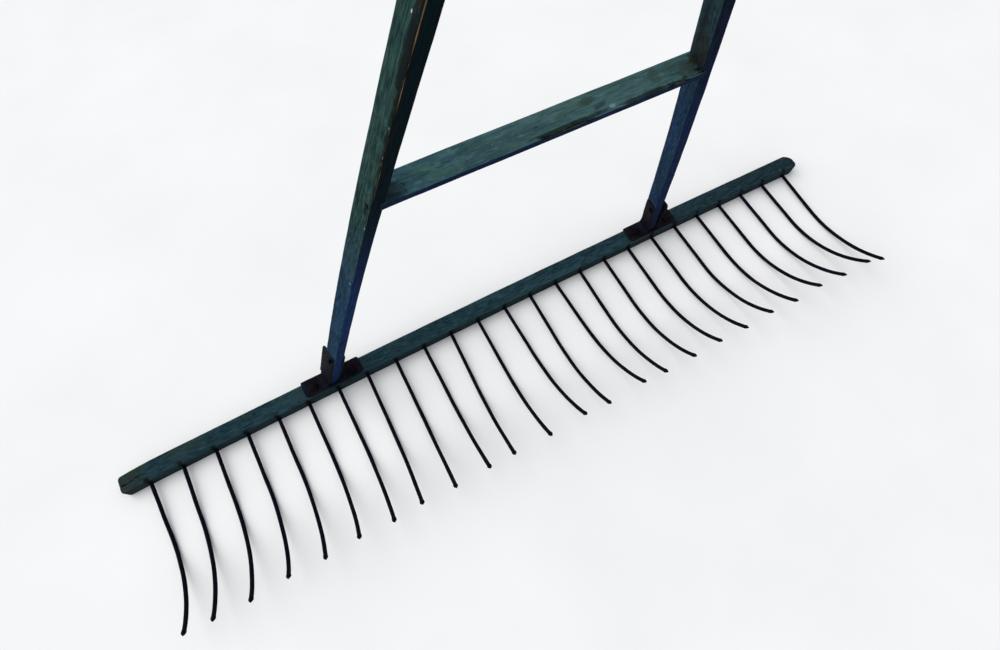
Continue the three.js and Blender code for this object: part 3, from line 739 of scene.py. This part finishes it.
def head_bar():
    """The bar, a groove down its front face opening into a crack at the left end."""
    xs = stations(BAR_LEFT, BAR_RIGHT, 5)
    rings = []
    edges = []
    for x in xs:
        bottom, top, half_depth = bar_shape(x)
        half_height = (top - bottom) / 2
        end = min(x - BAR_LEFT, BAR_RIGHT - x)
        radius = BAR_ARRIS + 0.5 * rough((x, 0, 0), 70) + 2.0 * quarter(end, 10)
        radius = min(radius, half_depth * 0.8, half_height * 0.72)
        crack = remains(x - BAR_LEFT, CRACK_LENGTH)
        climb = CRACK_START + CRACK_CLIMB * (1 - crack) + 0.8 * rough((x, 5, 5), 12)
        section = grooved(
            board_section(half_depth, half_height, radius),
            climb, GROOVE_HALF_WIDTH + CRACK_HALF_WIDTH * crack)
        ring = []
        for i, (a, b, _) in enumerate(section):
            place = Vector((x, a, (top + bottom) / 2 + b))
            shift = 0.28 * rough(place, 45, 3) + 0.1 * rough(place, 9, 5)
            sunk = CRACK_DEPTH * min(1.0, 2 * crack) if i == GROOVE + 1 else 0.0
            ring.append((x, place.y * (1 + shift / 14) + sunk, place.z + shift * b / 18))
        rings.append(ring)
        edges.append([e for _, _, e in section])

    def shelter(r, i):
        """Painted-shade mask: full on the underside and inside the crack, half on the back."""
        if i == GROOVE + 1 and xs[r] < BAR_LEFT + CRACK_LENGTH:
            return 1.0
        x, y, z = rings[r][i]
        under = (bow(x) - z - BAR_HEIGHT / 2 + PAINTED_SHADE_LIP) / PAINTED_SHADE_BLEND
        back = (y - BAR_DEPTH / 2 + PAINTED_SHADE_LIP) / PAINTED_SHADE_BLEND
        return max(rise(under, 0, 1), 0.5 * rise(back, 0, 1))

    mesh = loft(
        "head_bar", rings,
        grain=lambda r, i: in_metres(rings[r][i]),
        edge=lambda r, i: edges[r][i] * (0.75 + 0.5 * rough(rings[r][i], 120, 8)),
        shelter=shelter,
        rub=lambda r, i: 0.0,
    )
    make_piece("painted_head_bar", mesh, HEAD, "head_bar", BAR_PAINT)


# ---- tines ----

def tine_x(index):
    return (index - (TINE_COUNT - 1) / 2) * PITCH


def tine_bend(index):
    own = LAST_TINE_BEND if index == TINE_COUNT - 1 else TINE_BEND
    return own + TINE_UNEVEN_BEND * wander(index, 2.7)


def tine_lean(index):
    return TINE_UNEVEN_LEAN * wander(index, 0.4) + math.radians(KNOCKED_DEGREES.get(index + 1, 0))


def tine_arc(index):
    longer = LONGER_TINES.get(index + 1, 0)
    return TINE_BEND_RADIUS * TINE_BEND - TINE_UNEVEN_LENGTH * wander(index, 6.3) + longer


TURN_HEIGHT = BAR_HEIGHT / 2 + CLINCH_PROUD - TINE_RADIUS - CLINCH_RADIUS
TINE_SIDES = 14
SHANK_STEPS = 60
CLINCH_STEPS = 14
TINE_GIRTH = 0.985  # the shank's mean radius as a share of the CAD tine's
CLINCH_TAPER = 6
CLINCH_DRAWN = 0.55
# Half width and half thickness of the forged point, as shares, at distances from its end.
POINT_PROFILE = (
    (0, 0.1, 0.1), (0.6, 0.28, 0.26), (2, 0.52, 0.44), (4.5, 0.88, 0.7), (6.5, 1.14, 0.88),
    (8, 1.24, 0.98), (10, 1.16, 1.0), (14, 1, 1))
POINT_LENGTH = POINT_PROFILE[-1][0]
POINT_STATIONS = (0, 0.6, 2, 3.2, 4.5, 6.5, 8, 10, 12, POINT_LENGTH)


def tine_point(distance, index):
    """Place, side and back directions on a tine, this far down from the middle of the bar."""
    middle = bow(tine_x(index))
    straight = TINE_STRAIGHT + middle
    arc = TINE_BEND_RADIUS * TINE_BEND / tine_bend(index)
    place = Vector((0, 0, middle - distance))
    side = Vector((1, 0, 0))
    back = Vector((0, 1, 0))
    if distance > straight:
        angle = (distance - straight) / arc
        place = Vector((0, -arc * (1 - math.cos(angle)), -TINE_STRAIGHT - arc * math.sin(angle)))
        back = Vector((0, math.cos(angle), -math.sin(angle)))
    elif -distance > TURN_HEIGHT:
        angle = min((-distance - TURN_HEIGHT) / CLINCH_RADIUS, math.pi / 2)
        rest = -distance - TURN_HEIGHT - CLINCH_RADIUS * angle
        place.x = -CLINCH_RADIUS * (1 - math.cos(angle)) - rest * math.sin(angle)
        place.z = middle + TURN_HEIGHT + CLINCH_RADIUS * math.sin(angle) + rest * math.cos(angle)
        side = Vector((math.cos(angle), 0, math.sin(angle)))
    kinks = 0.5 * rough((distance, 0, 0), 60, index) * rise(distance - BAR_HEIGHT / 2, 0, 60)
    place.x += tine_lean(index) * max(distance, 0) + tine_x(index) + kinks
    return place, side, back


def point_widths(left):
    """Half width and half thickness of a tine, this far from its forged end, as shares."""
    for (d0, w0, t0), (d1, w1, t1) in zip(POINT_PROFILE, POINT_PROFILE[1:]):
        if left <= d1:
            share = (left - d0) / (d1 - d0)
            return w0 + (w1 - w0) * share, t0 + (t1 - t0) * share
    return 1, 1


def tine(index):
    """One tine, from its forged point up through the bar to its clinched end."""
    end = TINE_STRAIGHT + bow(tine_x(index)) + tine_arc(index) - GAP
    shank_length = end - POINT_LENGTH - BAR_HEIGHT / 2
    clinch_end = TURN_HEIGHT + CLINCH_RADIUS * (math.pi / 2 - 1) + CLINCH_LENGTH
    clinch_start = TURN_HEIGHT - 2
    distances = [end - d for d in POINT_STATIONS]
    distances += [
        BAR_HEIGHT / 2 + shank_length * k / SHANK_STEPS for k in range(SHANK_STEPS - 1, -1, -1)]
    distances += [5, -5]
    distances += [
        -clinch_start - (clinch_end - clinch_start) * k / CLINCH_STEPS for k in range(CLINCH_STEPS)]
    distances += [-clinch_end + 0.6, -clinch_end]
    rings = []
    for distance in distances:
        place, side, back = tine_point(distance, index)
        width, thickness = point_widths(end - distance)
        drawn = 1 - CLINCH_DRAWN * max(0, (-distance - clinch_end) / CLINCH_TAPER + 1) ** 2
        ring = []
        for angle in around(TINE_SIDES):
            across, through = math.cos(angle), math.sin(angle)
            spot = place + side * across * TINE_RADIUS + back * through * TINE_RADIUS
            unsteady = 0.04 * rough(spot, 26, index) + 0.03 * rough(spot, 6, index)
            r = TINE_RADIUS * (TINE_GIRTH + unsteady) * drawn
            ring.append(place + side * (across * r * width) + back * (through * r * thickness))
        rings.append(ring)
    name = f"tine_{index + 1:02d}"
    mesh = loft(f"forged_{name}", rings)
    make_piece(f"forged_{name}", mesh, HEAD, name, TINE_IRON, sharp=55)


# ---- handle ----

LEFT_TWIST = math.radians(10)
RIGHT_TWIST = math.radians(8)
RAIL_ARRIS = 0.9
RAIL_SWELLING = {-1: 0.09, 1: 0.04}


def left_twist(reach):
    """The left rail has warped: its foot is turned about its own length."""
    return LEFT_TWIST * (1 - 0.75 * rise(reach, 380, 780))


def straight(reach):
    return 0.0


def board_along(name, path, sizes, radius, seed, rub, rounded_end=0.0, twist=straight):
    """A board in the handle frame, along a path of (x, reach) points, on edge.

    sizes gives its width across the path and its depth; rub gives how much of the paint is
    rubbed away at a distance along it and a place across it from one corner; rounded_end is how
    much of its far end is rounded over; twist is how far it is turned about its own length. Its
    lower face gets the painted shade."""
    rings = []
    edges = []
    along = []
    rubs = []
    sheltered = []
    run = 0.0
    total = sum((Vector(b) - Vector(a)).length for a, b in zip(path, path[1:]))
    for k, (x, reach) in enumerate(path):
        before = Vector(path[max(k - 1, 0)])
        after = Vector(path[min(k + 1, len(path) - 1)])
        ahead = (after - before).normalized()
        across = Vector((ahead.y, -ahead.x))
        if k:
            run += (Vector(path[k]) - before).length
        width, depth = sizes(reach)
        if rounded_end:
            width -= width * 0.5 * quarter(total - run, rounded_end * 0.5)
            depth -= depth * 0.75 * quarter(total - run, rounded_end)
        arris = min(radius * (1 + 0.3 * rough((run, seed, 0), 60)), width * 0.4, depth * 0.4)
        section = board_section(width / 2, depth / 2, arris)
        cosine, sine = math.cos(twist(reach)), math.sin(twist(reach))
        ring = []
        for a, b, _ in section:
            spot = Vector((run, a, b))
            shift = 0.24 * rough(spot, 50, seed) + 0.08 * rough(spot, 10, seed + 4)
            place = Vector((x, reach)) + across * (a * cosine - b * sine) * (1 + shift / 9)
            ring.append((place.x, -place.y, (a * sine + b * cosine) * (1 + shift / 16)))
        rings.append(ring)
        edges.append([e for _, _, e in section])
        along.append([in_metres((run, a, b)) for a, b, _ in section])
        rubs.append([rub(run, a + width / 2, b + depth / 2) for a, b, _ in section])
        # Painted shade on the lower face, fading out round its arrises.
        sheltered.append([1 - rise(b + depth / 2, 0.25, 0.8) for _, b, _ in section])
    mesh = loft(
        name, rings,
        grain=lambda r, i: along[r][i],
        edge=lambda r, i: edges[r][i] * (0.8 + 0.6 * rough(rings[r][i], 150, seed)),
        shelter=lambda r, i: sheltered[r][i],
        rub=lambda r, i: rubs[r][i],
    )
    return outward(mesh)


def on_corner(across, up, fall):
    """1 on the corner that rub is measured from, less round it."""
    return min(1.0, math.exp(-(math.hypot(across, up) - 0.35) / fall))


def rail_rub(side):
    """The arris between a rail's outer and lower faces is rubbed bare above the brace.

    The right rail's is only touched; near its top the left rail's is clean wood."""
    def rub(run, across, up):
        amount = rise(run, 430, 640) if side < 0 else 0.35 * rise(run, 560, 700)
        clean = 0.4 * rise(run, 788, 808) if side < 0 else 0.0
        uneven = 0.9 + 0.5 * rough((run, 0, 0), 35, side)
        return on_corner(across, up, 0.8) * (amount * uneven + clean)
    return rub


def rail(side, word, paint):
    """One rail, a little stouter between the brace and the grip."""
    path = [(side * rail_x(r), r) for r in stations(RAIL_FOOT, RAIL_REACH + 4, 5)]

    def sizes(reach):
        swell = 1 + RAIL_SWELLING[side] * rise(reach, 450, 800) * rise(reach, 980, 860)
        return rail_width(reach) * swell, RAIL_DEPTH * swell

    name = f"{word}_rail"
    mesh = board_along(
        name, path, sizes, RAIL_ARRIS, 5 + 2 * side, rail_rub(side), rounded_end=12,
        twist=left_twist if side < 0 else straight)
    make_piece(f"painted_{name}", mesh, HANDLE, name, paint)


def brace_rub(run, across, up):
    """The brace's lower arris is rubbed bare right of its middle and near its right end."""
    middle = rise(run, 170, 200) * rise(run, 262, 235)
    right = math.exp(-((run - 362) / 13) ** 2)
    return on_corner(across, up, 0.9) * min(1.0, 0.95 * middle + 1.3 * right)


def brace_end(side):
    """How far up the handle the brace meets a rail's middle line."""
    return BRACE_REACH - BRACE_SKEW * side * rail_x(BRACE_REACH)


def brace():
    ends = []
    for side in (-1, 1):
        reach = brace_end(side)
        x = side * (rail_x(reach) - rail_width(reach) / 2 + TENON_LENGTH)
        ends.append(Vector((x, reach)))
    length = (ends[1] - ends[0]).length
    path = [tuple(ends[0].lerp(ends[1], d / length)) for d in stations(0, length, 5)]
    mesh = board_along(
        "brace", path, lambda reach: (BRACE_THICKNESS, BRACE_HEIGHT), 0.8, 11, brace_rub)
    make_piece("painted_brace", mesh, HANDLE, "handle_brace", BRACE_PAINT)


GRIP_NECK_RADIUS = 9.4
GRIP_SWELL = 3.4
GRIP_SIDES = 32


def grip():
    """The turned cross grip, its axis along x, swelling between the rails."""
    waist = rail_x(GRIP_REACH) - rail_width(GRIP_REACH) / 2 - 10
    rings = []
    for x in stations(-GRIP_HALF_LENGTH, GRIP_HALF_LENGTH, 3):
        swell = max(0.0, math.cos(math.pi / 2 * min(1.0, abs(x) / waist))) ** 0.8
        rounding = 3 * quarter(GRIP_HALF_LENGTH - abs(x), 4)
        radius = GRIP_NECK_RADIUS + GRIP_SWELL * swell - rounding
        ring = []
        for angle in around(GRIP_SIDES):
            spot = Vector((x, math.cos(angle) * radius, math.sin(angle) * radius))
            r = radius + 0.12 * rough(spot, 14, 2) + 0.05 * math.sin(x * 2.1)
            ring.append((x, -GRIP_REACH + math.cos(angle) * r, math.sin(angle) * r))
        rings.append(ring)
    mesh = loft(
        "grip", rings,
        grain=lambda r, i: in_metres(rings[r][i]),
        edge=lambda r, i: 0.35 + 0.6 * math.exp(-(rings[r][i][0] / 45) ** 2),
        shelter=lambda r, i: 0.0,
        rub=lambda r, i: 0.0,
    )
    make_piece("turned_grip", outward(mesh), HANDLE, "hand_grip", GRIP_PAINT)


# ---- iron fittings ----

def bent_cheeks(foot_x, turn, widen, taller, inner_share):
    """Turns the cheeks of a bracket about the rail between them; head frame, millimetres.

    widen and taller scale them; inner_share is the share of the turn the +x cheek takes."""
    def bend(place):
        out = rise(PLATE_FRONT - 2 - place.y, 0, 14) * rise(34 - abs(place.x - foot_x), 0, 10)
        if place.x > foot_x:
            out *= inner_share
        x, z = place.x - foot_x, place.z * (1 + (widen - 1) * out)
        cosine, sine = math.cos(turn * out), math.sin(turn * out)
        stretch = 1 + (taller - 1) * rise(-place.y, 60, 160)
        return Vector((foot_x + x * cosine - z * sine, place.y * stretch, x * sine + z * cosine))
    return bend


CHEEK_BENDS = {
    -1: bent_cheeks(-RAIL_FOOT_X, LEFT_TWIST, widen=1.05, taller=1.0, inner_share=1.0),
    1: bent_cheeks(RAIL_FOOT_X, RIGHT_TWIST, widen=1.12, taller=1.04, inner_share=0.1),
}


BRACKET_VOXEL = 0.9
BRACKET_WOBBLE = 0.22


def bracket(side, word):
    """A CAD bracket made a forging: its skin remeshed, softened, made unsteady and bent."""
    name = f"{word}_bracket"
    work = new_object("work", bpy.data.objects[name].data.copy())
    remesh = work.modifiers.new("remesh", "REMESH")
    remesh.mode = "VOXEL"
    remesh.voxel_size = BRACKET_VOXEL * MM
    smooth = work.modifiers.new("smooth", "SMOOTH")
    smooth.factor = 0.5
    smooth.iterations = 4
    seen = work.evaluated_get(bpy.context.evaluated_depsgraph_get())
    mesh = bpy.data.meshes.new_from_object(seen)
    bpy.data.objects.remove(work)
    mesh.name = f"forged_{name}"
    places = [vertex.co * 1000 for vertex in mesh.vertices]
    normals = [vertex.normal.copy() for vertex in mesh.vertices]
    bend = CHEEK_BENDS[side]
    to_head = HEAD.inverted()
    moved = []
    for place, normal in zip(places, normals):
        shift = BRACKET_WOBBLE * (rough(place, 9, 1) + 0.5 * rough(place, 3.5, 6))
        moved.extend(HEAD @ bend(to_head @ ((place + normal * shift) / 1000)))
    mesh.vertices.foreach_set("co", moved)
    mesh.materials.clear()
    make_piece(
        f"forged_{name}", mesh, Matrix.Identity(4), name, BRACKET_IRON, sharp=70)


BOLT_SIDES = 24
THREAD_ROOT = 3.45
THREAD_CREST = 3.95
THREAD_PITCH = 1.0
# The domed head as (radius, distance below its crown).
BOLT_HEAD_PROFILE = (
    (BOLT_RADIUS - 0.1, 4.2), (8.6, 4.2), (BOLT_HEAD_RADIUS, 3.7), (8.8, 1.6), (7.6, 0.8),
    (5.6, 0.3), (3.0, 0.05), (0.3, 0))


def bolt(seat, index):
    """Coach bolt along y: domed head behind the bar, threaded end in front of the nut."""
    nut_face = PLATE_FRONT - GAP - NUT_HEIGHT
    tail = nut_face - BOLT_TAIL
    profile = [(0.2, tail), (2.6, tail), (3.3, tail + 0.5)]
    y = tail + 0.9
    while y < nut_face + 1.5:
        profile += [(THREAD_ROOT, y), (THREAD_CREST, y + 0.45), (THREAD_ROOT, y + 0.9)]
        y += THREAD_PITCH
    profile.append((BOLT_RADIUS - 0.1, y))
    profile += [(radius, BOLT_CROWN - below) for radius, below in BOLT_HEAD_PROFILE]
    name = f"bolt_{index}"
    mesh = lathe(name, profile, BOLT_SIDES, wobble=0.12, seed=index)
    make_piece(f"coach_{name}", mesh, seat, name, FASTENER_IRON, 50)


NUT_SIDES = 48
NUT_SQUARENESS = 7  # power of the rounded square; a circle's would be 2
# The nut's skin as (share of the way out from the bolt, distance from one of its faces).
NUT_OUTER = (
    (0, 1.4), (0, 0.25), (0.22, 0), (0.62, 0), (0.9, 0.55), (0.985, 1.3), (1, 2.2))
NUT_INNER = ((1, 0.8), (0.98, 0.25), (0.9, 0), (0.3, 0), (0, 0))


def nut(seat, index):
    """Square nut, its corners rounded and its outer face chamfered."""
    inner_face = PLATE_FRONT - GAP
    outer_face = inner_face - NUT_HEIGHT
    tilt = 0.35 * wander(index, 3.3)
    rings = []
    shape = [(share, outer_face + y) for share, y in NUT_OUTER]
    shape += [(share, inner_face - y) for share, y in NUT_INNER]
    for share, y in shape:
        ring = []
        for angle in around(NUT_SIDES):
            bulge = sum(abs(f(angle)) ** NUT_SQUARENESS for f in (math.cos, math.sin))
            square = NUT_WIDTH / 2 / bulge ** (1 / NUT_SQUARENESS)
            radius = (BOLT_RADIUS + GAP) * (1 - share) + square * share
            cosine, sine = math.cos(angle + tilt), math.sin(angle + tilt)
            spot = Vector((cosine * radius, y, -sine * radius))
            radius += 0.12 * rough(spot, 3, index) * min(share * 2, 1)
            ring.append((cosine * radius, y, -sine * radius))
        rings.append(ring)
    rings.append(rings[0])
    name = f"nut_{index}"
    mesh = outward(loft(name, rings, cap=False), merge=1e-5)
    make_piece(f"square_{name}", mesh, seat, name, FASTENER_IRON, 50)


# Profiles of (radius, height): a rivet's head, then a whole nail and pin from the point.
RIVET_DOME = ((0.3, 3.2), (2.2, 3.05), (3.9, 2.5), (5.2, 1.5), (5.9, 0.5), (5.8, 0.0))
RIVET_SHANK_RADIUS = 2.9
RIVET_SIDES = 20
NAIL_SIDES = 14
NAIL_PROFILE = (
    (0.1, -42), (1.3, -37), (1.4, -0.2), (3.2, 0.0), (3.4, 0.4), (3.0, 0.9), (1.6, 1.4),
    (0.3, NAIL_HEAD_HEIGHT))
PIN_PROFILE = (
    (0.1, -22), (1.5, -18), (1.6, 0.2), (3.4, 0.4), (3.6, 0.8), (2.8, 1.7), (1.2, 2.2), (0.2, 2.3))


def rivet(side, word):
    """A rivet across a socket, both of its heads hammered to low domes."""
    span = RIVET_SPAN
    profile = [(r, -span - h) for r, h in RIVET_DOME]
    profile += [(RIVET_SHANK_RADIUS, -span), (RIVET_SHANK_RADIUS, span)]
    profile += [(r, span + h) for r, h in reversed(RIVET_DOME)]
    mesh = lathe(f"{word}_rivet", profile, RIVET_SIDES, wobble=0.35, seed=side)
    turn_z = -math.pi / 2 - side * math.atan(RAIL_LEAN)
    place = Matrix.Translation((side * rail_x(RIVET_REACH), -RIVET_REACH, -RIVET_DROP))
    matrix = HANDLE @ place @ Matrix.Rotation(turn_z, 4, "Z")
    name = f"{word}_socket_rivet"
    make_piece(f"hammered_{name}", mesh, matrix, name, FASTENER_IRON, 60)


def nail(side, word, level, level_word):
    """A rose-headed nail along x, from the rail's outer face into the end of the brace."""
    reach = brace_end(side)
    face = side * (rail_x(reach) + rail_width(reach) / 2 - NAIL_HEAD_HEIGHT / 2)
    mesh = lathe("nail", NAIL_PROFILE, NAIL_SIDES, wobble=0.3, seed=side * 3 + level)
    place = Matrix.Translation((face, -reach, level * NAIL_OFFSET))
    matrix = HANDLE @ place @ Matrix.Rotation(-side * math.pi / 2, 4, "Z")
    name = f"{word}_brace_nail_{level_word}"
    make_piece(f"rose_{name}", mesh, matrix, name, FASTENER_IRON, 45)


def grip_pin(side, word):
    """A headed pin driven down through the top of a rail into the grip."""
    mesh = lathe("pin", PIN_PROFILE, NAIL_SIDES, wobble=0.25, seed=side * 2 + 7)
    place = Matrix.Translation((side * rail_x(GRIP_REACH), -GRIP_REACH, RAIL_DEPTH / 2))
    matrix = HANDLE @ place @ Matrix.Rotation(math.pi / 2, 4, "X")
    name = f"{word}_grip_pin"
    make_piece(f"headed_{name}", mesh, matrix, name, FASTENER_IRON, 45)


# ---- assembly ----

head_bar()
for tine_index in range(TINE_COUNT):
    tine(tine_index)
brace()
grip()
for side, word, paint in ((-1, "left", LEFT_RAIL_PAINT), (1, "right", RIGHT_RAIL_PAINT)):
    rail(side, word, paint)
    bracket(side, word)
    rivet(side, word)
    nail(side, word, 1, "upper")
    nail(side, word, -1, "lower")
    grip_pin(side, word)
for number, x in enumerate(BOLT_XS, start=1):
    seat = HEAD @ Matrix.Translation((x, 0, bow(x)))
    bolt(seat, number)
    nut(seat, number)


# ---- floor, light and camera ----

FLOOR_REACH = 6.0
SKY_COLOUR = (0.93, 0.96, 1.0, 1)
SKY_STRENGTH = 0.62
SUN_FROM = (-0.62, 0.3, 0.78)
SUN_STRENGTH = 2.3
SUN_ANGLE = math.radians(75)
SUN_COLOUR = (1.0, 0.985, 0.96)
# In the head frame, millimetres; the lens and sensor are in millimetres too.
CAMERA_PLACE = (-259.1, -1068.2, -415.1)
CAMERA_AHEAD = (0.20212, 0.92608, 0.31862)
CAMERA_UP = (0.43282, -0.37631, 0.81918)
CAMERA_SENSOR = 36
CAMERA_LENS = 20.68


def studio():
    """A pale floor under a soft broad light from above, to the left and a little behind."""
    mesh = bpy.data.meshes.new("floor")
    sides = ((-1, -1), (1, -1), (1, 1), (-1, 1))
    corners = [(FLOOR_REACH * x, FLOOR_REACH * y, 0) for x, y in sides]
    mesh.from_pydata(corners, [], [(0, 1, 2, 3)])
    s = Shader("floor")
    tone = s.noise(s.node("ShaderNodeTexCoord", output="Object"), 3.0, detail=3)
    colour = s.ramp(tone, (0.3, (0.8, 0.8, 0.8)), (0.7, (0.84, 0.84, 0.84)))
    mesh.materials.append(s.finish(colour, 0.8, s.bump(tone, 0.0005, 0.1), specular=0.1))
    new_object("floor", mesh)

    world = bpy.data.worlds.new("studio")
    world.use_nodes = True
    sky = world.node_tree.nodes["Background"]
    sky.inputs["Color"].default_value = SKY_COLOUR
    sky.inputs["Strength"].default_value = SKY_STRENGTH
    bpy.context.scene.world = world

    sun = bpy.data.lights.new("sun", "SUN")
    sun.energy = SUN_STRENGTH
    sun.angle = SUN_ANGLE
    sun.color = SUN_COLOUR
    lamp = new_object("sun", sun)
    lamp.rotation_mode = "QUATERNION"
    lamp.rotation_quaternion = Vector(SUN_FROM).to_track_quat("Z", "Y")


def camera():
    """A wide lens above and left of the handle's top, looking down the rails to the head."""
    place = HEAD @ Vector(CAMERA_PLACE)
    ahead = Vector(CAMERA_AHEAD)
    right = ahead.cross(Vector(CAMERA_UP)).normalized()
    up = right.cross(ahead)
    axes = turn.to_3x3() @ Matrix((right, up, -ahead)).transposed()
    data = bpy.data.cameras.new("camera")
    data.sensor_width = CAMERA_SENSOR
    data.lens = CAMERA_LENS
    data.clip_start = 0.01
    eye = new_object("camera", data)
    eye.matrix_world = Matrix.Translation(place) @ axes.to_4x4()
    bpy.context.scene.camera = eye


studio()
camera()
bpy.context.scene.view_settings.view_transform = "Standard"
